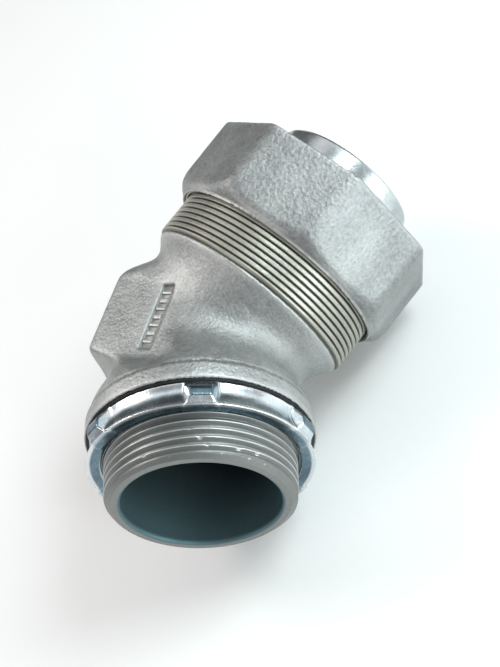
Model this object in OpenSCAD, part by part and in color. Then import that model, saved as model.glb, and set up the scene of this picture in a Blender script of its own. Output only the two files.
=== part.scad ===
// Conduit compression fitting, 45 degree elbow, trade size 1-1/2 inch.
// Row frame, millimetres: the hub axis is Y with its mouth towards -Y, y = 0 is the sealing plane,
// the conduit branch leaves towards +X +Y, and Z is square to the plane of the elbow.

/* [Elbow] */
// Angle between the hub axis and the conduit branch, degrees
bend_deg = 45; // [30:1:60]
// Height of the bend point above the sealing plane
bend_y = 25.2; // [24:0.1:28]
// Radius of the centre line of the passage through the bend
sweep_r = 45; // [35:1:50]
// Radius of the passage
bore_r = 19.8; // [18:0.1:20.2]
// Outer radius of the two arms next to the bend
tube_r = 22.8; // [22.6:0.1:24]
// Rim radius of the hub flange
flange_r = 29.05; // [28:0.05:30]
// Thickness of the flange rim behind the gasket
rim_t = 4.1; // [3:0.1:4.5]
// Length of the flare above the flange
bell_len = 15; // [13:0.5:16]

/* [Hub thread] */
// Distance from the sealing plane to the mouth
hub_len = 17.7; // [16:0.1:20]
// Crest radius half way along the hub
hub_crest_r = 24; // [23.6:0.05:24.05]
// Thread pitch, 11.5 per inch
hub_pitch = 2.209; // [2:0.001:2.4]
// Number of thread crests
hub_turns = 7; // [5:1:7]

/* [Compression thread] */
// Distance from the bend point to the first thread groove
branch_start = 20.5; // [20:0.1:22]
// Distance from the bend point to the branch mouth
branch_len = 37; // [36.6:0.1:37.2]
// Crest radius of the compression thread
comp_crest_r = 29.65; // [29.4:0.05:29.65]
// Thread pitch, 16 per inch
comp_pitch = 1.5875; // [1.4:0.0005:1.6]

/* [Heel boss] */
// Half the distance between the two flat sides
heel_half = 22.5; // [21.5:0.1:23]
// Distance from the bend point to the outer face of the boss
heel_out = 18.7; // [18.4:0.1:20]
// Length of the recessed tag
tag_len = 18.8; // [12:0.2:20]
// Width of the recessed tag
tag_w = 3.9; // [3:0.1:5]

/* [Gland nut] */
// Distance across the flats of the octagon at the near end
nut_flats = 64; // [63.6:0.1:66]
// Turn of the octagon about the branch axis, as tightened
nut_turn = 3; // [-22:0.1:22]
// Distance from the bend point to the nut's lip
nut_start = 32; // [31.9:0.1:32.1]
// Overall length of the nut
nut_len = 23.2; // [22.8:0.1:24]
// Radius of the conduit opening
entry_r = 24.7; // [24.5:0.05:24.8]

/* [Ferrule] */
// Outer radius of the sleeve that enters the conduit
sleeve_r = 20.1; // [20:0.05:20.3]
// Distance from the bend point to the sleeve's tip
sleeve_tip = 64.2; // [60:0.1:66]

/* [Locknut] */
// Outer radius of the locknut ring
lock_r = 28.4; // [27.4:0.1:28.4]
// Radius to the tips of the lugs
lug_r = 30.1; // [29.5:0.1:31.5]
// Overall thickness of the locknut
lock_t = 6.8; // [6:0.1:7.4]
// Angle of the first lug
lug_turn = 1.5; // [-29:0.5:30]

/* [Hidden] */
$fn = 96;
gasket_t = 0.9;
gasket_r = 28.4;
lip_y = 0.1;
flange_y = gasket_t;
rim_top = flange_y + rim_t;
half_bend = bend_deg / 2;
sweep_t = sweep_r * tan(half_bend);
hub_depth = 1.15;
comp_depth = 0.72;
comp_turns = floor((branch_len - branch_start - 1.9) / comp_pitch) + 1;
seat_s = 28.5;
cup_r = 25.1;
pocket_r = 25.35;
nut_corner = nut_flats / 2 / cos(22.5);
nut_draft = 0.25;
nut_end = nut_start + nut_len;
shoulder_s = nut_start + 15.9;
ring_tip = nut_start + 8.3;
lock_back = -0.1;
lock_front = lock_back - lock_t;
tag_depth = 0.6;
core_step = 0.4;
knuckle = 0.35;
under_r = 86;
under_drop = sqrt(pow(under_r, 2) - pow(heel_half, 2));

// Crest radius of the tapered hub thread at height y (1 in 32 on the radius).
function hub_r(y) = hub_crest_r + (y + 8.4) / 32;

// Height of hub crest k, counted from the mouth.
function hub_y(k) = -hub_len + 0.45 + k * hub_pitch;

// Distance of compression crest k from the bend point.
function comp_s(k) = branch_start + 0.75 + k * comp_pitch;

// Direction helpers: local z becomes the axis of the arm.
module along_hub() {
  rotate([-90, 0, 0]) children();
}

module along_branch() {
  translate([0, bend_y, 0]) rotate([0, 0, -bend_deg]) rotate([-90, 0, 0]) children();
}

// In the plane of the elbow: u runs along the outer face, v points out of the heel.
module on_heel() {
  translate([0, bend_y, 0]) rotate([0, 0, -half_bend]) children();
}

module turned(points) {
  rotate_extrude() polygon(points);
}

module rod(r, a, b) {
  translate([0, 0, a]) cylinder(r = r, h = b - a);
}

// Hub: tapered thread, flange rim with a shallow recess for the gasket, flare and arm.
module hub_arm() {
  thread = [for (k = [0 : hub_turns - 1]) each [
    [hub_r(hub_y(k)) - (k == 0 ? 0.7 : hub_depth), hub_y(k) - (k == 0 ? 0.43 : 0.885)],
    [hub_r(hub_y(k)), hub_y(k) - 0.22],
    [hub_r(hub_y(k)), hub_y(k) + 0.22],
    [hub_r(hub_y(k)) - hub_depth, hub_y(k) + 0.885]
  ]];
  bell = [for (i = [1 : 9]) [
    tube_r + (flange_r - 0.5 - tube_r) * (0.3 + 0.3 * cos(i * 18) + 0.4 * pow(1 - i / 10, 1.2)),
    rim_top + 0.5 + bell_len * i / 10
  ]];
  top = max(bend_y, rim_top + 0.5 + bell_len + 0.5);
  turned(concat(
    [[0, -hub_len], [21.95, -hub_len]],
    thread,
    [[hub_crest_r - 1, flange_y], [gasket_r + 0.1, flange_y], [gasket_r + 0.15, lip_y]],
    [[flange_r, lip_y], [flange_r, rim_top], [flange_r - 0.5, rim_top + 0.5]],
    bell,
    [[tube_r, rim_top + 0.5 + bell_len], [tube_r, top], [0, top]]
  ));
}

// Conduit branch: flared collar and the straight compression thread.
module branch_arm() {
  root = comp_crest_r - comp_depth;
  flare = [for (i = [0 : 8]) [
    tube_r + (root - 0.05 - tube_r) * pow(i / 8, 1.7),
    7 + (branch_start - 0.2 - 7) * i / 8
  ]];
  thread = [for (k = [0 : comp_turns - 1]) each [
    [root, comp_s(k) - 0.71],
    [comp_crest_r, comp_s(k) - 0.3],
    [comp_crest_r, comp_s(k) + 0.3],
    [root, comp_s(k) + 0.71]
  ]];
  turned(concat(
    [[0, 0], [tube_r, 0]],
    flare,
    [[root, branch_start - 0.1]],
    thread,
    [[root, branch_len - 0.6], [root - 0.6, branch_len], [0, branch_len]]
  ));
}

// Squared heel on the outside of the bend: two flats, an outer face, a crowned underside along the
// lower ridge and a turned cone at the branch end.
module heel() {
  intersection() {
    translate([0, 0, -heel_half])
      linear_extrude(2 * heel_half)
        translate([0, bend_y])
          rotate(-half_bend)
            polygon([[-heel_out, -17], [-heel_out, 24], [-2, 18], [2.6, 1], [0, -17]]);
    on_heel() translate([-12, -11.5, 0]) rotate([0, 0, -14.5]) translate([0, under_drop, 0])
      rotate([0, 90, 0]) cylinder(r = under_r, h = 120, center = true);
    along_branch() rotate_extrude() polygon([[0, -34], [58.9, -34], [21.5, 20], [0, 20]]);
  }
}

// Both arms and the round knuckle where they meet.
module arms() {
  along_hub() hub_arm();
  along_branch() branch_arm();
  translate([0, bend_y, 0]) sphere(tube_r + knuckle);
}

// The passage: hub bore, swept bend, branch bore and the pocket for the ferrule's cup.
module passage() {
  along_hub() rod(bore_r, -hub_len - 1, bend_y - sweep_t + 0.5);
  translate([sweep_r, bend_y - sweep_t, 0])
    rotate([0, 0, 180 - bend_deg])
      rotate_extrude(angle = bend_deg)
        translate([sweep_r, 0]) circle(bore_r - core_step);
  along_branch() {
    rod(bore_r, sweep_t - 0.5, seat_s + 0.5);
    rod(pocket_r, seat_s, branch_len + 1);
    turned([[0, branch_len - 1.95], [pocket_r, branch_len - 1.95], [27.3, branch_len],
      [28.3, branch_len + 1], [0, branch_len + 1]]);
  }
}

module tag_box(length, width, low, high) {
  translate([0, 0, (low + high) / 2]) on_heel() cube([width, length, high - low], center = true);
}

module elbow_body() {
  color([0.62, 0.62, 0.60]) {
    difference() {
      union() {
        arms();
        heel();
      }
      passage();
      along_hub() turned([[0, -hub_len - 1], [21.2, -hub_len - 1], [19.7, -hub_len + 0.5],
        [0, -hub_len + 0.5]]);
      tag_box(tag_len, tag_w, heel_half - tag_depth, heel_half + 1);
    }
    for (i = [-3 : 3])
      translate([0, 0, heel_half - tag_depth - 0.1])
        on_heel() translate([-1.2, i * 2.4 - 0.45, 0]) cube([2.4, 0.9, 0.55]);
  }
}

module gland_nut() {
  color([0.60, 0.60, 0.58])
    along_branch() difference() {
      intersection() {
        rotate([0, 0, nut_turn]) translate([0, 0, nut_start])
          cylinder($fn = 8, r1 = nut_corner, r2 = nut_corner + nut_draft, h = nut_len);
        turned([[0, nut_start], [30.9, nut_start], [31.1, nut_start + 0.2], [31.1, nut_start + 0.8],
          [32.5, nut_start + 1.6], [33.7, nut_start + 2.7], [nut_corner - 0.2, nut_start + 4.2],
          [nut_corner + 1, nut_start + 5.6], [nut_corner + 1, nut_end - 0.9],
          [nut_corner + 0.2, nut_end], [0, nut_end]]);
      }
      turned([[0, nut_start - 1], [30.35, nut_start - 1], [30.35, nut_start],
        [comp_crest_r + 0.1, nut_start + 0.6], [comp_crest_r + 0.1, shoulder_s],
        [25.9, shoulder_s], [entry_r, shoulder_s + 1.3],
        [entry_r, nut_end - 1], [entry_r + 1, nut_end], [entry_r + 1, nut_end + 1], [0, nut_end + 1]]);
    }
}

module ferrule() {
  inner = sleeve_r - 1.2;
  base = nut_start + 2.2;
  color([0.75, 0.76, 0.78])
    along_branch()
      turned([[inner, base + 0.5], [inner + 0.5, base], [cup_r - 0.3, base], [cup_r, base + 0.3],
        [cup_r, base + 5.8], [cup_r - 0.8, base + 5.8], [cup_r - 0.8, base + 1], [sleeve_r, base + 1],
        [sleeve_r, sleeve_tip - 0.7], [sleeve_r - 0.3, sleeve_tip - 0.2],
        [sleeve_r - 0.7, sleeve_tip], [inner + 0.2, sleeve_tip],
        [inner, sleeve_tip - 0.2]]);
}

module sealing_ring() {
  color([0.20, 0.20, 0.21])
    along_branch()
      turned([[24.4, ring_tip], [25, ring_tip], [28, ring_tip + 3], [29.2, ring_tip + 3],
        [29.2, shoulder_s - 1.45], [24.4, shoulder_s - 1.45]]);
}

module slip_washer() {
  color([0.70, 0.71, 0.73])
    along_branch()
      turned([[24.6, shoulder_s - 1.4], [29.3, shoulder_s - 1.4], [29.3, shoulder_s - 0.2],
        [24.6, shoulder_s - 0.2]]);
}

// Six driving lugs with a sloping front.
module lugs() {
  intersection() {
    turned([[22, lock_front], [lock_r, lock_front], [lug_r, lock_front + 1.5], [lug_r, lock_front + 4],
      [22, lock_front + 4]]);
    for (k = [0 : 5])
      rotate([0, 0, -lug_turn - k * 60]) translate([0, 0, lock_front - 1]) linear_extrude(6)
        polygon([[25.5, -4.6], [lock_r, -4.15], [lug_r + 1, -2.9],
          [lug_r + 1, 2.9], [lock_r, 4.15], [25.5, 4.6]]);
  }
}

module locknut() {
  color([0.72, 0.76, 0.80])
    along_hub() {
      turned([[24.6, lock_front], [lock_r - 0.3, lock_front], [lock_r, lock_front + 0.3],
        [lock_r - 0.45, lock_front + 2], [lock_r - 0.7, lock_front + 4.2], [lock_r - 0.5, lock_back - 0.3],
        [lock_r - 0.8, lock_back], [24.6, lock_back], [24.32, lock_back - 0.3], [24.32, lock_front + 0.3]]);
      lugs();
    }
}

module hub_gasket() {
  color([0.12, 0.12, 0.13])
    along_hub()
      turned([[24.35, 0], [gasket_r, 0], [gasket_r, gasket_t], [24.35, gasket_t]]);
}

elbow_body();
gland_nut();
ferrule();
sealing_ring();
slip_washer();
locknut();
hub_gasket();
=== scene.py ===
"""Looks for the 45 degree conduit compression fitting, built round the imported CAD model.

Cast pieces are meshed from smooth distance fields, and threads are real helices.
All shape functions work in millimetres in the row frame; meshes are stored in metres.
"""
import math

import bpy
import numpy as np
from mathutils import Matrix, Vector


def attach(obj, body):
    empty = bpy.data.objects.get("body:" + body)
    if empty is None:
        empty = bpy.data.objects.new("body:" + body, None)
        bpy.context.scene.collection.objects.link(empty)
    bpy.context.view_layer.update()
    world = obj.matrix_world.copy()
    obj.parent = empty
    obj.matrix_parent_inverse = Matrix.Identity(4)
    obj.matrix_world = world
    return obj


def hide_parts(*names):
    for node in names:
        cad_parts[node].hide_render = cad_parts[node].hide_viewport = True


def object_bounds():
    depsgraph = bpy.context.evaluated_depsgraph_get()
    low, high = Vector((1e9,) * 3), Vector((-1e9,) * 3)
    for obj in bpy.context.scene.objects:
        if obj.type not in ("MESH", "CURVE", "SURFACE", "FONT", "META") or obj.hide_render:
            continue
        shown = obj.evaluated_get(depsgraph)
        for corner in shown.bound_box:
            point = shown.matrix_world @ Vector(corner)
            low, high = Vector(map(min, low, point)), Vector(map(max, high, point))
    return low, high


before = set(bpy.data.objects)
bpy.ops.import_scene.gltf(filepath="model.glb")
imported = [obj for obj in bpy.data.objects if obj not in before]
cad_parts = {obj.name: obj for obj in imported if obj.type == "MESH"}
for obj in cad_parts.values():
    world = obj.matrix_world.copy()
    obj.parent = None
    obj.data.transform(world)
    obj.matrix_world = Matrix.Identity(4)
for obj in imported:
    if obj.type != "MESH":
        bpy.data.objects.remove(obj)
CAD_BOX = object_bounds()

import openvdb
from mathutils import Matrix, Vector

S2 = math.sqrt(0.5)

# Sizes repeated from part.scad, in millimetres
BEND_Y = 25.2
SWEEP_R, SWEEP_T = 45.0, 45.0 * math.tan(math.radians(22.5))
BORE, TUBE = 19.8, 22.8
FLANGE_R, LIP_Y, GASKET_R, GASKET_T, RIM_TOP, FLARE = 29.05, 0.1, 28.4, 0.9, 5.0, 15.0
HUB_LEN, HUB_CREST, HUB_PITCH, HUB_DEPTH = 17.7, 24.0, 2.209, 1.15
BRANCH_START, BRANCH_LEN = 20.5, 37.0
COMP_CREST, COMP_PITCH, COMP_DEPTH = 29.65, 1.5875, 0.72
HEEL_HALF, HEEL_OUT, UNDER_R = 22.5, 18.7, 86.0
TAG_LEN, TAG_W = 18.8, 3.9
SEAT_S, POCKET = 28.5, 25.35
NUT_A, NUT_LEN, NUT_HALF, NUT_GROW, NUT_TURN = 32.0, 23.2, 32.0, 0.23, 3.0
SHOULDER, ENTRY = 47.9, 24.7
LOCK_R, LUG_R, LOCK_FRONT, LOCK_BACK, LUG_TURN = 28.4, 30.1, -6.9, -0.1, 1.5

# Sizes of the visible surfaces only, in millimetres
LOCK_BORE, LUG_HALF, LUG_DEPTH = 24.36, 2.55, 3.9
HUB_THREAD_START, HUB_THREAD_PHASE = 0.45 - HUB_LEN, 62
COMP_THREAD_START, COMP_THREAD_PHASE = BRANCH_START + 0.75, 47
NUT_GROOVE = 0.55

HEEL_COS, HEEL_SIN = 0.92388, 0.38268  # the heel's flats turn with half of the bend
LATTICE = 48  # points on each side of a noise lattice


# ---------- fields and meshes ----------

def smax(a, b, k):
    """Maximum of two fields, blended where they are closer than k."""
    h = np.maximum(k - np.abs(a - b), 0) / k
    return np.maximum(a, b) + h * h * k * 0.25


def smin(a, b, k):
    """Minimum of two fields, blended where they are closer than k."""
    return -smax(-a, -b, k)


def branch_coords(x, y, z):
    """Distance along the branch axis from the bend point, and the two offsets across it."""
    return S2 * (x + y - BEND_Y), S2 * (x - y + BEND_Y), z


def curve(points, count=400):
    """A table of radius against height through the points, with the factor that turns it into a distance."""
    h = np.array([p[0] for p in points], float)
    r = np.array([p[1] for p in points], float)
    t = np.linspace(h[0], h[-1], count)
    v = np.interp(t, h, r)
    slope = np.gradient(v, t)
    return t, v, 1 / np.sqrt(1 + slope * slope)


def turned(table, rho, h):
    """Distance to the surface that a table from curve() makes when it is turned round its axis."""
    t, v, c = table
    return (rho - np.interp(h, t, v)) * np.interp(h, t, c)


LATTICES = [np.random.default_rng(s).random((LATTICE,) * 3).astype(np.float32) for s in range(4)]


def grain(p, size, seed):
    """Smooth noise from -1 to 1 at points p, with features of that size in millimetres."""
    t = np.asarray(p) / size + 31.7 * (seed + 1)
    i = np.floor(t).astype(int)
    f = t - i
    f = f * f * (3 - 2 * f)
    cells = LATTICES[seed]
    out = 0
    for dx in (0, 1):
        for dy in (0, 1):
            for dz in (0, 1):
                w = (f[:, 0] if dx else 1 - f[:, 0]) * (f[:, 1] if dy else 1 - f[:, 1])
                w = w * (f[:, 2] if dz else 1 - f[:, 2])
                out = out + w * cells[tuple(((i + (dx, dy, dz)) % LATTICE).T)]
    return out * 2 - 1


def make_mesh(name, verts, quads, attributes):
    """A smooth-shaded mesh object from millimetre points and quads, turned the right way out."""
    verts = np.asarray(verts, float)
    quads = np.asarray(quads, int)
    a, b, c = verts[quads[:, 0]], verts[quads[:, 1]], verts[quads[:, 2]]
    d = verts[quads[:, 3]]
    volume = np.einsum("ij,ij->i", a, np.cross(b, c) + np.cross(c, d)).sum()
    if volume < 0:
        quads = quads[:, ::-1]
    me = bpy.data.meshes.new(name)
    me.vertices.add(len(verts))
    me.vertices.foreach_set("co", (verts * 0.001).astype(np.float32).ravel())
    me.loops.add(quads.size)
    me.loops.foreach_set("vertex_index", quads.ravel().astype(np.int32))
    me.polygons.add(len(quads))
    me.polygons.foreach_set("loop_start", np.arange(0, quads.size, 4, dtype=np.int32))
    me.update(calc_edges=True)
    me.polygons.foreach_set("use_smooth", np.ones(len(quads), bool))
    for key, values in attributes:
        layer = me.attributes.new(key, "FLOAT", "POINT")
        layer.data.foreach_set("value", np.asarray(values, np.float32).ravel())
    me.update()
    ob = bpy.data.objects.new(name, me)
    bpy.context.scene.collection.objects.link(ob)
    return ob


def field_points(field, low, high, step):
    """Points and quads of the surface where field is zero, on a grid of that step."""
    low = np.array(low, float)
    n = np.ceil((np.array(high, float) - low) / step).astype(int) + 1
    x, y, z = (low[i] + step * np.arange(n[i]) for i in range(3))
    x, y, z = x[:, None, None], y[None, :, None], z[None, None, :]
    band = 3 * step
    values = np.clip(np.broadcast_to(field(x, y, z), tuple(n)), -band, band).astype(np.float32)
    grid = openvdb.FloatGrid(band)
    grid.copyFromArray(values)
    grid.transform = openvdb.createLinearTransform(voxelSize=step)
    points, tris, quads = grid.convertToPolygons(isovalue=0.0, adaptivity=0.0)
    return np.asarray(points, float) + low, np.asarray(quads, int)


def normals(field, p, e=0.15):
    """Unit normals of the field at points p, from differences over e on either side."""
    g = np.stack([field(*(p + d).T) - field(*(p - d).T) for d in np.eye(3) * e], 1)
    return g / np.maximum(np.linalg.norm(g, axis=1), 1e-9)[:, None]


def field_mesh(name, field, low, high, step, rough=None, local=None, painted_shade=None):
    """A meshed field, pulled onto the true surface, with its hollows and edges as attributes.

    rough(points, normals) moves points along their normals, local turns them into the row frame, and the
    last function, given points and normals, fills an attribute of its own name: the mask for painted shade.
    """
    p, quads = field_points(field, low, high, step)
    n = normals(field, p)
    for _ in range(2):
        p = p - np.clip(field(*p.T), -step, step)[:, None] * n * 0.8
    n = normals(field, p)
    hollow = np.clip((1.6 - field(*(p + n * 1.6).T)) / 1.2, 0, 1)
    edge = np.clip((1.0 + field(*(p - n * 1.0).T)) / 0.6, 0, 1)
    if rough is not None:
        p = p + rough(p, n)[:, None] * n
    attributes = [("hollow", hollow), ("edge", edge)]
    if painted_shade is not None:
        attributes.append(("painted_shade", painted_shade(p, n)))
    if local is not None:
        p = local(p)
    return make_mesh(name, p, quads, attributes)


def hub_place(p):
    """From hub coordinates, whose third axis runs along the hub towards the bend, to the row frame."""
    return np.stack([p[..., 0], p[..., 2], -p[..., 1]], -1)


def branch_place(p):
    """From branch coordinates, whose third axis leaves along the conduit, to the row frame."""
    return np.stack([S2 * (p[..., 0] + p[..., 2]), BEND_Y + S2 * (p[..., 2] - p[..., 0]), -p[..., 1]], -1)


def outline(corners, steps, step=0.9):
    """A closed outline through the corners as many points; a stretch may have its own step in steps."""
    out = []
    for i, (r, h) in enumerate(corners):
        r1, h1 = corners[(i + 1) % len(corners)]
        n = max(1, int(math.ceil(math.hypot(r1 - r, h1 - h) / steps.get(i, step))))
        out += [(r + (r1 - r) * k / n, h + (h1 - h) * k / n) for k in range(n)]
    return np.array(out)


def ring(name, rows, count, place, shape, inner_r):
    """A closed solid turned from an outline of radius and height.

    shape(radius, height, angle) gives the moved radii and how deep each point lies in the thread. Points
    inside inner_r get the attribute "inner".
    """
    t = np.linspace(0, 2 * math.pi, count, endpoint=False)
    r = np.repeat(rows[:, 0][:, None], count, 1)
    h = np.repeat(rows[:, 1][:, None], count, 1)
    t = np.repeat(t[None, :], len(rows), 0)
    r, depth = shape(r, h, t)
    p = place(np.stack([r * np.cos(t), r * np.sin(t), h], -1)).reshape(-1, 3)
    m = len(rows)
    i = np.arange(m)[:, None] * count
    j = np.arange(count)[None, :]
    i2 = (np.arange(m)[:, None] + 1) % m * count
    j2 = (j + 1) % count
    quads = np.stack([i + j, i2 + j, i2 + j2, i + j2], -1).reshape(-1, 4)
    return make_mesh(name, p, quads, [("depth", depth), ("inner", r < inner_r)])


# ---------- the casting ----------

BELL_TABLE = curve(
    [(-3, FLANGE_R), (RIM_TOP - 0.5, FLANGE_R), (RIM_TOP, FLANGE_R - 0.2), (RIM_TOP + 0.2, FLANGE_R - 0.65),
     (RIM_TOP + 0.45, FLANGE_R - 0.72)]
    + [(RIM_TOP + 0.5 + FLARE * t,
        TUBE + (FLANGE_R - 0.5 - TUBE) * (0.3 + 0.3 * math.cos(math.pi * t) + 0.4 * (1 - t) ** 1.2))
       for t in np.linspace(0.02, 1, 40)]
    + [(60, TUBE)], 1600)
COLLAR_TABLE = curve(
    [(-40, TUBE), (7, TUBE)]
    + [(7 + (BRANCH_START - 0.6 - 7) * t, TUBE + (COMP_CREST - COMP_DEPTH - TUBE) * t ** 1.7)
       for t in np.linspace(0.05, 1, 20)]
    + [(BRANCH_START + 3, COMP_CREST - COMP_DEPTH)], 600)


def heel_coords(x, y):
    """Offsets from the bend point: away from the heel's outer face, and along it."""
    dy = y - BEND_Y
    return HEEL_COS * x - HEEL_SIN * dy, HEEL_SIN * x + HEEL_COS * dy


def off_sweep(x, y):
    """Distance from the curved centre line of the bend, in the plane of the elbow."""
    return np.sqrt((x - SWEEP_R) ** 2 + (y - BEND_Y + SWEEP_T) ** 2) - SWEEP_R


def casting(x, y, z):
    """The whole cast body in the row frame, without its threads."""
    rho = np.sqrt(x * x + z * z)
    s, q, _ = branch_coords(x, y, z)
    rb = np.sqrt(q * q + z * z)
    u, a = heel_coords(x, y)
    hub = np.maximum(smax(turned(BELL_TABLE, rho, y), LIP_Y - y, 0.6), y - BEND_Y)
    hub = np.maximum(hub, np.minimum(GASKET_R + 0.12 - rho, GASKET_T - y))
    arm = np.maximum(np.maximum(turned(COLLAR_TABLE, rb, s), -s), s - BRANCH_START + 0.05)
    knuckle = np.sqrt(x * x + (y - BEND_Y) ** 2 + z * z) - TUBE
    inside = np.clip((u - 8) / 14, 0, 1)
    tube = smin(np.minimum(hub, knuckle), arm, 0.6 + 6.5 * inside)
    h = (u + 12) * 0.25038 + (a + 11.5) * 0.96815 - math.sqrt(UNDER_R ** 2 - HEEL_HALF ** 2)
    under = np.sqrt(h * h + z * z) - UNDER_R
    top = (rb - (58.9 - 0.6926 * (s + 34))) * 0.8221
    heel = smax(np.abs(z) - HEEL_HALF, -u - HEEL_OUT, 2.6)
    heel = smax(smax(heel, top, 2.4), under, 1.3)
    heel = np.maximum(heel, u - 3)
    body = smin(tube, heel, 3.2)
    over = 0.1 * np.maximum(-a - 10.5, 0) ** 2 + 0.06 * np.maximum(a - 10, 0) ** 2
    over = over + 0.05 * np.maximum(u - 4, 0) ** 2 + 0.04 * np.maximum(s - 5, 0) ** 2
    body = smax(body, np.abs(z) - HEEL_HALF - 0.1 - over, 1.0)
    tag = smax(np.abs(u) - TAG_W / 2, np.abs(a) - TAG_LEN / 2, 0.6)
    tag = smax(tag, HEEL_HALF - 0.62 + 0.10 * u - z, 0.3)
    body = smax(body, -tag, 0.6)
    core = np.maximum(rho - BORE - 0.6, y - 7.2)
    swept = np.maximum(np.sqrt(off_sweep(x, y) ** 2 + z * z) - BORE + 0.1, 5.5 - y)
    out = np.maximum(rb - BORE - 0.05, 17.5 - s)
    return smax(body, -np.minimum(np.minimum(core, swept), out), 0.2)


def in_passage(p, n):
    """1 on the passage's wall, where the painted shade goes, 0 on the outside."""
    s, q, _ = branch_coords(*p.T)
    rho = np.where(p[:, 1] < BEND_Y - 4, np.hypot(p[:, 0], p[:, 2]), 99)
    rb = np.where(s > 0, np.hypot(q, p[:, 2]), 99)
    swept = np.hypot(off_sweep(p[:, 0], p[:, 1]), p[:, 2])
    return np.clip((20.9 - np.minimum(np.minimum(rho, rb), swept)) / 0.3, 0, 1)


def cast_rough(p, n):
    """Sand-cast unevenness, none on the seat, the passage or the edge under the thread."""
    rho = np.hypot(p[:, 0], p[:, 2])
    s, q, _ = branch_coords(*p.T)
    rb = np.hypot(q, p[:, 2])
    core = np.minimum(np.minimum(rho, rb), np.linalg.norm(p - np.array([0, BEND_Y, 0]), axis=1))
    keep = np.clip((p[:, 1] - 1.0) / 0.8, 0, 1) * np.clip((BRANCH_START - 0.6 - s) / 1.5, 0, 1)
    keep = keep * (core > 20.6)
    return keep * (0.06 * grain(p, 6, 0) + 0.015 * grain(p, 2.2, 1) + 0.02 * grain(p, 1.1, 2))


# ---------- threads ----------

# Nicks in the hub's thread: angle in degrees, then height, size and depth in millimetres
NICKS = [(math.radians(a), y, s, d) for a, y, s, d in (
    (-62, -13.0, 0.5, 0.30), (-68, -10.4, 0.5, 0.25), (-96, -15.2, 0.6, 0.20), (-104, -16.7, 0.4, 0.25),
    (-58, -15.0, 0.4, 0.30), (-40, -14.9, 0.7, 0.30), (-33, -16.7, 0.5, 0.30), (-28, -15.2, 0.5, 0.30),
    (-22, -16.8, 0.4, 0.30), (-118, -12.8, 0.5, 0.20), (-50, -16.8, 0.4, 0.25), (-80, -16.9, 0.3, 0.25),
    (40, -14.0, 0.6, 0.30), (110, -11.0, 0.6, 0.25), (160, -16.0, 0.6, 0.30), (75, -16.8, 0.5, 0.30))]


def off_crest(h, t, start, pitch, phase):
    """Distance along the axis from the nearest crest of a right-hand helix."""
    lead = (h - start) / pitch - (t + math.radians(phase)) / (2 * math.pi)
    return np.abs(lead - np.round(lead)) * pitch


def hub_shape(r, h, t):
    """Right-hand tapered thread on the outside of the hub tube, with a chamfered mouth and small nicks."""
    taper = HUB_CREST + (h + 8.4) / 32
    away = off_crest(h, t, HUB_THREAD_START, HUB_PITCH, HUB_THREAD_PHASE)
    outer = r > 22.4
    depth = np.where(outer, HUB_DEPTH * np.clip((away - 0.12) / 0.76, 0, 1), 0)
    flat = np.stack([r * np.cos(t), r * np.sin(t), h], -1).reshape(-1, 3)
    worn = (0.02 * grain(flat, 0.8, 1) + 0.02 * grain(flat, 3, 2)).reshape(r.shape)
    nick = np.zeros_like(r)
    for angle, height, size, deep in NICKS:
        d2 = ((np.angle(np.exp(1j * (t - angle))) * 24) ** 2 + (h - height) ** 2) / size ** 2
        nick = np.maximum(nick, deep * np.exp(-d2))
    thread = taper - depth - np.where(depth < 0.5, nick, 0.2 * nick) + worn * (depth < 0.3)
    chamfer = 21.95 + (h + HUB_LEN) * 1.35
    thread = np.where(h > -0.2, np.minimum(thread, 23.2), thread)
    r = np.where(outer, np.minimum(thread, np.maximum(chamfer, 21.94)), r)
    # tone sets the colour from the pale crest at 0 to the painted groove shade at 1; the chamfer and bore get
    # 0.5 and nicks the crest colour
    tone = np.where((thread > chamfer) | (r < 22), 0.5, depth / HUB_DEPTH)
    return r, np.clip(tone - 2.5 * nick * (nick > 0.08), 0, 1)


def collar_shape(r, h, t):
    """Right-hand straight thread on the branch: wide crests and narrow grooves."""
    away = off_crest(h, t, COMP_THREAD_START, COMP_PITCH, COMP_THREAD_PHASE)
    depth = COMP_DEPTH * np.clip((away - 0.44) / 0.30, 0, 1)
    runout = np.clip((h - BRANCH_START + 0.1) / 0.9, 0, 1)
    outer = r > 28
    depth = np.where(outer, COMP_DEPTH + (depth - COMP_DEPTH) * runout, 0)
    flat = np.stack([r * np.cos(t), r * np.sin(t), h], -1).reshape(-1, 3)
    worn = (0.025 * grain(flat, 0.7, 3) + 0.015 * grain(flat, 3, 0)).reshape(r.shape)
    end = COMP_CREST - 1.3 + (BRANCH_LEN - h) * 1.2
    thread = np.minimum(COMP_CREST - depth + worn * (depth < 0.2), end)
    thread = np.where(h < BRANCH_START - 0.1, COMP_CREST - COMP_DEPTH - 0.5, thread)
    return np.where(outer, thread, r), depth / COMP_DEPTH


def nut_thread_shape(r, h, t):
    """The groove of the nut's own thread, cut outwards from its bore."""
    away = off_crest(h, t, COMP_THREAD_START, COMP_PITCH, COMP_THREAD_PHASE)
    depth = np.where(r < 30, NUT_GROOVE * np.clip((0.55 - away) / 0.3, 0, 1), 0)
    return r + depth, depth / NUT_GROOVE


# ---------- nut and locknut ----------

NUT_TABLE = curve(
    [(NUT_A - 2, 31.05), (NUT_A + 0.8, 31.1), (NUT_A + 1.3, 32.0), (NUT_A + 2.0, 33.0), (NUT_A + 2.9, 33.9),
     (NUT_A + 4.2, 34.75), (NUT_A + 5.6, 35.6), (NUT_A + 7.5, 37), (NUT_A + NUT_LEN + 2, 39)], 500)
# Dents in the nut's far edge: angle in degrees, then radius, height and size in millimetres
NUT_DENTS = [(-50, 35.0, 55.1, 1.0), (-44, 33.8, 55.3, 0.9), (-30, 33.0, 55.5, 1.0), (-57, 33.2, 55.4, 0.7),
             (3, 34.8, 54.6, 0.8), (-11, 35.3, 53.7, 0.7), (100, 34.0, 55.3, 1.0), (170, 34.6, 55.2, 0.9)]


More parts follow.
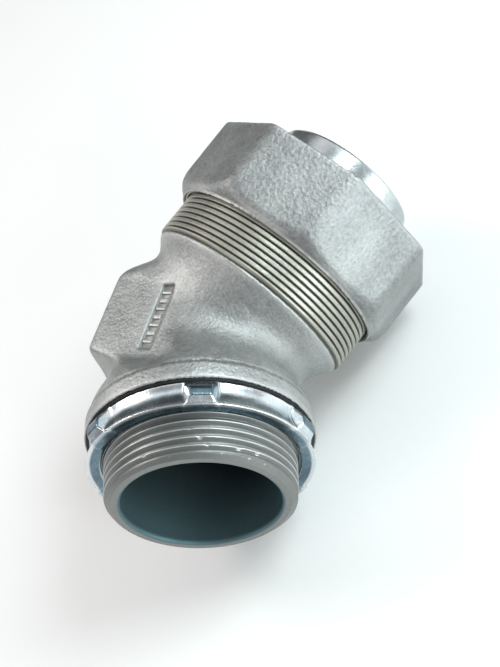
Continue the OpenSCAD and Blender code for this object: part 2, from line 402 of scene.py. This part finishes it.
def nut_field(x, y, z):
    """In branch coordinates, z along the conduit."""
    rho = np.sqrt(x * x + y * y)
    half = NUT_HALF + NUT_GROW * (z - NUT_A) / NUT_LEN
    sides = None
    for k in range(8):
        a = math.radians(NUT_TURN + 22.5 + 45 * k)
        plane = x * math.cos(a) + y * math.sin(a) - half
        sides = plane if sides is None else smax(sides, plane, 1.5)
    f = smax(sides, turned(NUT_TABLE, rho, z), 1.6)
    f = smax(smax(f, z - NUT_A - NUT_LEN, 0.5), NUT_A - z, 0.5)
    for a, r, h, size in NUT_DENTS:
        a = math.radians(a)
        f = smax(f, size - np.sqrt((x - (r + 0.5) * math.cos(a)) ** 2 + (y - (r + 0.5) * math.sin(a)) ** 2
                                   + (z - h - 0.3) ** 2), 0.3)
    bore = np.maximum(rho - 30.35 - 0.5 * np.maximum(NUT_A + 0.9 - z, 0), z - SHOULDER)
    entry = rho - ENTRY - np.maximum(z - (NUT_A + NUT_LEN - 1), 0)
    return smax(f, -np.minimum(bore, entry), 0.3)


def nut_rough(p, n):
    """Coarse orange peel, none in the bore and less on the end face."""
    rho = np.hypot(p[:, 0], p[:, 1])
    keep = np.clip((rho - 30.9) / 0.6, 0, 1) * np.where(n[:, 2] > 0.8, 0.5, 1)
    return keep * (0.05 * grain(p, 6, 1) + 0.022 * grain(p, 1.9, 2) + 0.018 * grain(p, 1.1, 3))


def locknut_field(x, y, z):
    """In hub coordinates, z towards the bend."""
    rho = np.sqrt(x * x + y * y)
    up = (z - LOCK_FRONT) / (LOCK_BACK - LOCK_FRONT)
    band = LOCK_R + 0.1 - np.sin(np.clip(up, 0, 1) * math.pi * 0.86) - 0.15 * up
    f = smax((rho - band) * 0.96, LOCK_FRONT - z, 0.3)
    f = smax(f, z - LOCK_BACK, 0.5)
    angle = np.arctan2(y, x)
    for k in range(6):
        a = math.radians(-LUG_TURN - 60 * k)
        c, s = math.cos(a), math.sin(a)
        along, across = x * c + y * s, np.abs(-x * s + y * c)
        side = (across - LUG_HALF - 0.55 * np.clip(LUG_R - along, 0, 3)) * 0.88
        lug = smax(side, along - LUG_R + 0.02, 0.5)
        lug = smax(lug, (LOCK_FRONT - z + 0.9 * np.maximum(along - LOCK_R, 0)) * 0.75, 0.25)
        lug = smax(lug, (z - LOCK_FRONT - LUG_DEPTH - 1.1 * (LUG_R - along)) * 0.67, 0.6)
        lug = np.maximum(lug, 25.6 - along)
        f = smin(f, lug, 0.7)
    bore = LOCK_BORE - rho + 0.25 * np.cos(2 * math.pi * (z / HUB_PITCH - angle / (2 * math.pi)))
    bore = bore + 0.9 * np.maximum(0.5 - (z - LOCK_FRONT), 0)
    return smax(f, bore, 0.2)


# ---------- materials ----------

class Nodes:
    """Builds one node material, each call adding a node and returning its output."""

    def __init__(self, name, **fixed):
        self.mat = bpy.data.materials.new(name)
        self.mat.use_nodes = True
        self.tree = self.mat.node_tree
        self.bsdf = self.tree.nodes["Principled BSDF"]
        for key, value in fixed.items():
            self.bsdf.inputs[key.replace("_", " ")].default_value = value
        self.place = self.add("ShaderNodeTexCoord").outputs["Object"]

    def add(self, kind, **props):
        n = self.tree.nodes.new(kind)
        for key, value in props.items():
            setattr(n, key, value)
        return n

    def put(self, socket, value):
        if isinstance(value, bpy.types.NodeSocket):
            self.tree.links.new(value, socket)
        else:
            socket.default_value = value

    def attr(self, name):
        return self.add("ShaderNodeAttribute", attribute_name=name).outputs["Fac"]

    def along(self, axis):
        """The place along one axis of the row frame, in metres."""
        n = self.add("ShaderNodeSeparateXYZ")
        self.put(n.inputs[0], self.place)
        return n.outputs[axis]

    def noise(self, per_metre, detail=2.0, rough=0.5, coords=None):
        n = self.add("ShaderNodeTexNoise")
        self.put(n.inputs["Vector"], coords or self.place)
        self.put(n.inputs["Scale"], per_metre)
        self.put(n.inputs["Detail"], detail)
        self.put(n.inputs["Roughness"], rough)
        return n.outputs["Fac"]

    def cells(self, per_metre):
        n = self.add("ShaderNodeTexVoronoi")
        self.put(n.inputs["Vector"], self.place)
        self.put(n.inputs["Scale"], per_metre)
        return n.outputs["Distance"]

    def stretch(self, x, y, z, turn=(0, 0, 0)):
        n = self.add("ShaderNodeMapping", vector_type="POINT")
        self.put(n.inputs["Vector"], self.place)
        n.inputs["Rotation"].default_value = turn
        n.inputs["Scale"].default_value = (x, y, z)
        return n.outputs["Vector"]

    def math(self, op, a, b=0.0, clamp=False):
        n = self.add("ShaderNodeMath", operation=op, use_clamp=clamp)
        self.put(n.inputs[0], a)
        self.put(n.inputs[1], b)
        return n.outputs[0]

    def span(self, value, low, high, to_low=0.0, to_high=1.0):
        n = self.add("ShaderNodeMapRange")
        keys = ("Value", "From Min", "From Max", "To Min", "To Max")
        for key, v in zip(keys, (value, low, high, to_low, to_high)):
            self.put(n.inputs[key], v)
        return n.outputs["Result"]

    def mix(self, factor, a, b):
        n = self.add("ShaderNodeMix", data_type="RGBA")
        self.put(n.inputs[0], factor)
        self.put(n.inputs[6], a if isinstance(a, bpy.types.NodeSocket) else (*a, 1))
        self.put(n.inputs[7], b if isinstance(b, bpy.types.NodeSocket) else (*b, 1))
        return n.outputs[2]

    def bump(self, height, depth_mm, strength=1.0, base=None):
        n = self.add("ShaderNodeBump")
        self.put(n.inputs["Height"], height)
        self.put(n.inputs["Distance"], depth_mm * 0.001)
        self.put(n.inputs["Strength"], strength)
        if base is not None:
            self.put(n.inputs["Normal"], base)
        return n.outputs["Normal"]

    def finish(self, colour, roughness, normal=None):
        self.put(self.bsdf.inputs["Base Color"], colour)
        self.put(self.bsdf.inputs["Roughness"], roughness)
        if normal is not None:
            self.put(self.bsdf.inputs["Normal"], normal)
        return self.mat


SHADED_PASSAGE_COAT = (0.12, 0.20, 0.225)  # greenish coat inside the passage, painted dark as shade


def shaded_passage_colour(m, colour):
    """The passage's coat with painted shade, darker the further it lies from the hub's mouth."""
    return m.mix(m.span(m.along("Y"), -0.014, 0.010), colour, (0.034, 0.043, 0.041))


def cast_material(name, light, dark, coarse):
    """Zinc-plated, lacquered sand casting: grain, soft blotches, painted shade in hollows, a painted
    highlight on sharp edges and painted shade in the passage.
    """
    m = Nodes(name, Metallic=0.86)
    blotch = m.noise(70, 3)
    mid = m.noise(420, 3, 0.6)
    fine = m.noise(1500 * coarse, 4, 0.65)
    pebble = m.cells(1050 * coarse)
    tone = m.math("ADD", m.math("MULTIPLY", blotch, 0.6), m.math("MULTIPLY", mid, 0.4))
    colour = m.mix(m.span(tone, 0.38, 0.62), dark, light)
    colour = m.mix(m.span(fine, 0.34, 0.5, 0.32, 0.0), colour, tuple(c * 0.5 for c in dark))
    colour = m.mix(m.span(fine, 0.5, 0.68, 0.0, 0.14), colour, (0.80, 0.80, 0.78))
    # painted shade in hollows, darker the deeper the hollow
    colour = m.mix(m.math("MULTIPLY", m.attr("hollow"), 0.75), colour, (0.12, 0.12, 0.115))
    # painted highlight on sharp edges
    colour = m.mix(m.math("MULTIPLY", m.attr("edge"), 0.25), colour, (0.80, 0.81, 0.79))
    # the passage wall painted dark teal as shade, darker further in
    inside = m.mix(m.span(fine, 0.4, 0.6), (0.10, 0.17, 0.19), (0.14, 0.23, 0.26))
    colour = m.mix(m.attr("painted_shade"), colour, shaded_passage_colour(m, inside))
    rough = m.span(m.math("ADD", mid, m.math("MULTIPLY", fine, 0.6)), 0.5, 1.1, 0.40, 0.54)
    rough = m.math("ADD", rough, m.math("MULTIPLY", m.attr("hollow"), 0.2), True)
    normal = m.bump(fine, 0.14 / coarse, 1.0)
    normal = m.bump(pebble, 0.07 / coarse, 0.9, normal)
    normal = m.bump(mid, 0.10, 0.5, normal)
    return m.finish(colour, rough, normal)


def thread_material(name, crest, groove, lines, fade):
    """Machined thread: pale crests, grooves painted dark as shade, tool marks round the axis, and painted
    shade in the passage inside.
    """
    m = Nodes(name, Metallic=0.8)
    blotch = m.noise(120, 3)
    fine = m.noise(1800, 3, 0.6)
    depth = m.attr("depth")
    colour = m.mix(m.span(blotch, 0.35, 0.65, 0.0, 0.35), crest, tuple(c * 0.72 for c in crest))
    # grooves painted dark as shade
    colour = m.mix(m.span(depth, *fade), colour, groove)
    colour = m.mix(m.span(fine, 0.35, 0.5, 0.3, 0.0), colour, tuple(c * 0.5 for c in crest))
    # painted shade in the passage
    colour = m.mix(m.attr("inner"), colour, shaded_passage_colour(m, SHADED_PASSAGE_COAT))
    rough = m.span(fine, 0.3, 0.7, 0.36, 0.50)
    rough = m.math("ADD", rough, m.math("MULTIPLY", m.attr("inner"), 0.14), True)
    streaks = m.noise(1.0, 2, 0.6, m.stretch(*lines))
    normal = m.bump(streaks, 0.03, 0.7)
    normal = m.bump(fine, 0.05, 0.6, normal)
    return m.finish(colour, rough, normal)


def zinc_material(name, light, dark, rough_low, rough_high, lines):
    """Bright zinc plate on formed sheet, with drawing marks and faint handling stains."""
    m = Nodes(name, Metallic=1.0)
    blotch = m.noise(150, 4, 0.6)
    streak = m.noise(1.0, 3, 0.7, m.stretch(*lines))
    fine = m.noise(2400, 3, 0.6)
    colour = m.mix(m.span(blotch, 0.38, 0.64), dark, light)
    colour = m.mix(m.span(streak, 0.42, 0.6, 0.22, 0.0), colour, tuple(c * 0.6 for c in dark))
    rough = m.span(m.math("ADD", blotch, streak), 0.75, 1.25, rough_low, rough_high)
    normal = m.bump(streak, 0.02, 0.6)
    normal = m.bump(fine, 0.025, 0.5, normal)
    normal = m.bump(m.noise(260, 2), 0.10, 0.5, normal)
    return m.finish(colour, rough, normal)


def locknut_material():
    """Zinc-plated stamping: bright rolled band, face and lug tips painted darker bluish as shade, and a
    painted highlight on sharp edges.
    """
    m = Nodes("locknut_zinc", Metallic=1.0)
    blotch = m.noise(170, 4, 0.6)
    fine = m.noise(2400, 3, 0.6)
    scratch = m.noise(1.0, 3, 0.75, m.stretch(2600, 320, 2600, (0.3, 0.2, 0.5)))
    bright = m.mix(m.span(blotch, 0.38, 0.64), (0.52, 0.62, 0.68), (0.82, 0.86, 0.88))
    # a darker bluish copy of the zinc, painted shade for the face and lug tips
    dark = m.mix(m.span(blotch, 0.36, 0.62), (0.085, 0.14, 0.175), (0.17, 0.25, 0.30))
    colour = m.mix(m.attr("painted_shade"), bright, dark)
    colour = m.mix(m.span(scratch, 0.62, 0.70, 0.0, 0.5), colour, (0.85, 0.88, 0.90))
    colour = m.mix(m.span(scratch, 0.30, 0.38, 0.5, 0.0), colour, (0.06, 0.09, 0.11))
    # painted highlight on sharp edges
    colour = m.mix(m.span(m.attr("edge"), 0.25, 0.9, 0.0, 0.75), colour, (0.88, 0.90, 0.92))
    rough = m.span(blotch, 0.35, 0.65, 0.18, 0.30)
    normal = m.bump(scratch, 0.03, 0.6)
    normal = m.bump(fine, 0.02, 0.5, normal)
    normal = m.bump(m.noise(300, 2), 0.12, 0.5, normal)
    return m.finish(colour, rough, normal)


def dull_material(name, light, dark, rough, depth_mm):
    """Plain rubber or nylon with a faint moulded skin."""
    m = Nodes(name, Metallic=0.0)
    fine = m.noise(2200, 4, 0.6)
    blotch = m.noise(160, 3)
    colour = m.mix(m.span(blotch, 0.35, 0.65), dark, light)
    colour = m.mix(m.span(fine, 0.35, 0.5, 0.3, 0.0), colour, dark)
    return m.finish(colour, m.span(fine, 0.3, 0.7, rough, rough + 0.15), m.bump(fine, depth_mm, 0.8))


CAST = cast_material("cast_zinc", (0.468, 0.480, 0.478), (0.332, 0.344, 0.344), 1.0)
# the nut's coarser cast finish, painted darker than the body's as shade
CAST_NUT_SHADED = cast_material("cast_zinc_coarse_shaded", (0.362, 0.372, 0.374), (0.270, 0.278, 0.279), 0.8)
# a lighter copy of the casting for the tag's raised marks, a painted highlight
CAST_LIT = cast_material("cast_zinc_lit", (0.68, 0.67, 0.64), (0.50, 0.49, 0.47), 1.0)
# the second colour of each thread is painted shade for its grooves
HUB_MAT = thread_material("hub_thread_zinc", (0.59, 0.61, 0.60), (0.23, 0.24, 0.235),
                          (300, 4000, 300), (0.01, 0.14))
COLLAR_MAT = thread_material("collar_thread_zinc", (0.47, 0.46, 0.405), (0.10, 0.10, 0.085),
                             (2500, 2500, 300), (0.10, 0.75))
RING_MAT = zinc_material("sleeve_zinc", (0.66, 0.70, 0.715), (0.54, 0.58, 0.60), 0.20, 0.32,
                         (260, 260, 260))
LOCK_MAT = locknut_material()
WASHER_MAT = zinc_material("washer_zinc", (0.72, 0.74, 0.76), (0.55, 0.57, 0.60), 0.22, 0.36,
                           (900, 900, 900))
RUBBER = dull_material("gasket_rubber", (0.030, 0.030, 0.032), (0.014, 0.014, 0.015), 0.60, 0.04)
NYLON = dull_material("ring_nylon", (0.80, 0.79, 0.74), (0.70, 0.69, 0.64), 0.38, 0.03)


# ---------- build ----------

def dress(ob, material, body, node=None):
    """Gives a visible piece its material and body, and hides the CAD node that it stands for if there is one.
    """
    ob.data.materials.append(material)
    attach(ob, body)
    if node:
        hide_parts(node)


def tag_marks(x, y, z):
    """Plain raised bars in the tag, in heel coordinates."""
    f = None
    for i in range(-3, 4):
        half_u, half_a = (1.35, 0.42) if i % 2 else (1.05, 0.62)
        bar = smax(np.abs(x + 0.15) - half_u, np.abs(y - 2.4 * i) - half_a, 0.3)
        f = bar if f is None else np.minimum(f, bar)
    f = smax(f, z - HEEL_HALF + 0.05, 0.35)
    return smax(f, HEEL_HALF - 1.1 - z, 0.1)


def tag_rough(p, n):
    return 0.03 * grain(p, 0.9, 1)


def heel_place(p):
    """From heel coordinates to the row frame."""
    u, a, z = p[:, 0], p[:, 1], p[:, 2]
    return np.stack([HEEL_COS * u + HEEL_SIN * a, BEND_Y - HEEL_SIN * u + HEEL_COS * a, z], -1)


def locknut_painted_shade(p, n):
    """Painted shade: 1 on the face and the lug tips, less on the band's front half, 0 at its back edge and
    the lug sides.
    """
    rho = np.hypot(p[:, 0], p[:, 1])
    front = np.clip((-n[:, 2] - 0.82) / 0.1, 0, 1)
    wall = np.clip((rho - 29.2) / 0.4, 0, 1) * np.clip((np.hypot(n[:, 0], n[:, 1]) - 0.6) / 0.3, 0, 1)
    radial = (n[:, 0] * p[:, 0] + n[:, 1] * p[:, 1]) / rho
    band = 0.55 * np.clip((-p[:, 2] - 2.6) / 1.6, 0, 1) * (radial > 0.8) * (rho < 28.9)
    return np.maximum(np.maximum(front, wall * (radial > 0.7)), band)


COARSE = 1.0

# Outlines of the turned pieces: radius and height, closed from the last corner to the first
HUB_TUBE = [(BORE, 6.9), (BORE, -HUB_LEN + 0.42), (BORE + 0.5, -HUB_LEN), (21.9, -HUB_LEN),
            (22.5, -HUB_LEN + 0.02), (22.5, 2.8), (22.3, 3.0), (22.3, 6.9)]
COLLAR_TUBE = [(BORE, 19.0), (28.4, 19.6), (28.4, BRANCH_LEN), (27.4, BRANCH_LEN),
               (POCKET, BRANCH_LEN - 1.95), (POCKET, SEAT_S + 0.1),
               (POCKET - 0.1, SEAT_S), (BORE + 0.1, SEAT_S), (BORE, SEAT_S - 0.1)]
NUT_TUBE = [(29.76, 32.8), (30.75, 32.7), (30.75, 47.85), (29.76, 47.8)]

# the casting's passage wall is masked for painted shade
dress(field_mesh("elbow_casting", casting, (-31, -1, -31), (37, 63, 31), 0.485 * COARSE, cast_rough,
                 painted_shade=in_passage),
      CAST, "body", "elbow_body")
dress(ring("hub_thread", outline(HUB_TUBE, {2: 0.25, 4: 0.09 * COARSE}),
           int(360 / COARSE), hub_place, hub_shape, BORE + 0.7),
      HUB_MAT, "body")
dress(ring("compression_thread", outline(COLLAR_TUBE, {1: 0.085 * COARSE}),
           int(360 / COARSE), branch_place, collar_shape, 27.3),
      COLLAR_MAT, "body")
dress(ring("nut_thread", outline(NUT_TUBE, {3: 0.12 * COARSE}),
           int(300 / COARSE), branch_place, nut_thread_shape, 30.0),
      COLLAR_MAT, "nut")
dress(field_mesh("tag_marks", tag_marks, (-2, -9, 21), (2, 9, 23), 0.14 * COARSE, tag_rough, heel_place),
      CAST_LIT, "body")
dress(field_mesh("nut_casting", nut_field, (-38, -38, 31), (38, 38, 56.5), 0.40 * COARSE, nut_rough,
                 branch_place),
      CAST_NUT_SHADED, "nut", "gland_nut")
dress(field_mesh("locknut_steel", locknut_field, (-31.2, -31.2, -7.6), (31.2, 31.2, 0.6), 0.27 * COARSE,
                 None, hub_place, locknut_painted_shade),
      LOCK_MAT, "locknut", "locknut")

# The other pieces are shown as the CAD has them
for node, material in (("ferrule", RING_MAT), ("sealing_ring", NYLON),
                       ("slip_washer", WASHER_MAT), ("hub_gasket", RUBBER)):
    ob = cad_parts[node]
    ob.data.materials.clear()
    ob.data.materials.append(material)

# ---------- stage ----------

def add_object(name, data):
    ob = bpy.data.objects.new(name, data)
    bpy.context.scene.collection.objects.link(ob)
    return ob


def add_floor(half, count):
    """A pale floor just under the part, from -half to half in millimetres."""
    edge = np.linspace(-half, half, count)
    x, y = np.meshgrid(edge, edge, indexing="ij")
    points = np.stack([x, y, np.full_like(x, CAD_BOX[0].z * 1000 - 0.3)], -1).reshape(-1, 3)
    i = np.arange(count - 1)[:, None] * count + np.arange(count - 1)[None, :]
    quads = np.stack([i, i + count, i + count + 1, i + 1], -1).reshape(-1, 4)
    me = bpy.data.meshes.new("floor")
    me.from_pydata((points * 0.001).tolist(), [], quads.tolist())
    m = Nodes("floor_paint", Metallic=0.0)
    me.materials.append(m.finish(m.mix(m.noise(6, 2), (0.93, 0.93, 0.93), (0.96, 0.96, 0.96)), 0.85))
    return add_object("floor", me)


def area_light(name, place, target, size, watts, colour):
    data = bpy.data.lights.new(name, "AREA")
    data.shape, data.size, data.size_y = "RECTANGLE", size[0], size[1]
    data.energy, data.color = watts, colour
    ob = add_object(name, data)
    ob.location = place
    ob.rotation_euler = (Vector(target) - Vector(place)).to_track_quat("-Z", "Y").to_euler()


def studio_world(ramp_stops):
    """A grey world whose brightness depends on the y of the direction, from 0 at -1 to 1 at 1."""
    world = bpy.data.worlds.new("studio")
    bpy.context.scene.world = world
    world.use_nodes = True
    nodes, links = world.node_tree.nodes, world.node_tree.links
    split = nodes.new("ShaderNodeSeparateXYZ")
    half = nodes.new("ShaderNodeMath")
    half.operation = "MULTIPLY_ADD"
    half.inputs[1].default_value, half.inputs[2].default_value = 0.5, 0.5
    ramp = nodes.new("ShaderNodeValToRGB")
    stops = ramp.color_ramp.elements
    for k, (at, colour) in enumerate(ramp_stops):
        stop = stops[k] if k < 2 else stops.new(at)
        stop.position, stop.color = at, (*colour, 1)
    links.new(nodes.new("ShaderNodeTexCoord").outputs["Generated"], split.inputs[0])
    links.new(split.outputs["Y"], half.inputs[0])
    links.new(half.outputs[0], ramp.inputs[0])
    links.new(ramp.outputs[0], nodes["Background"].inputs[0])


floor = add_floor(900, 24)

MID = (0.015, 0.03, 0.0)
area_light("right_key", (0.42, 0.10, 0.40), MID, (0.20, 0.28), 2.15, (0.88, 1.0, 1.0))
area_light("right_card", (0.55, -0.24, 0.03), MID, (0.30, 0.22), 1.3, (0.86, 1.0, 1.0))
area_light("floor_front", (0.42, -0.42, 0.25), (0.16, -0.12, -0.035), (0.20, 0.20), 1.1, (0.95, 1.0, 1.0))
area_light("left_fill", (-0.50, -0.30, 0.35), MID, (0.3, 0.3), 0.7, (1.0, 0.94, 0.90))
area_light("left_back", (-0.40, 0.18, 0.48), MID, (0.22, 0.22), 1.15, (1.0, 0.94, 0.90))

# The first two are the ends that a new ramp has; the others go between them
studio_world([(0.55, (0.32, 0.33, 0.335)), (0.84, (0.15, 0.15, 0.15)), (0.64, (0.42, 0.42, 0.42)),
              (0.69, (1.1, 1.1, 1.1)), (0.775, (1.1, 1.1, 1.1))])

# Camera: axes of the picture in the row frame, place in metres, focal length in pixels of a 667 pixel height
RIGHT = (0.893236, -0.032231, -0.448431)
DOWN = (-0.292899, -0.798430, -0.526042)
AHEAD = (-0.341086, 0.601225, -0.722627)
FOCAL, HEIGHT, SENSOR = 1251.36, 667, 36

cam = bpy.data.cameras.new("camera")
camera = add_object("camera", cam)
turn = Matrix((RIGHT, [-v for v in DOWN], [-v for v in AHEAD])).transposed().to_4x4()
turn.translation = Vector((0.126106, -0.166908, 0.235700))
camera.matrix_world = turn
cam.sensor_fit, cam.sensor_height, cam.lens = "VERTICAL", SENSOR, FOCAL / HEIGHT * SENSOR
cam.clip_start, cam.clip_end = 0.005, 10
bpy.context.scene.camera = camera
bpy.context.scene.view_settings.view_transform = "Standard"
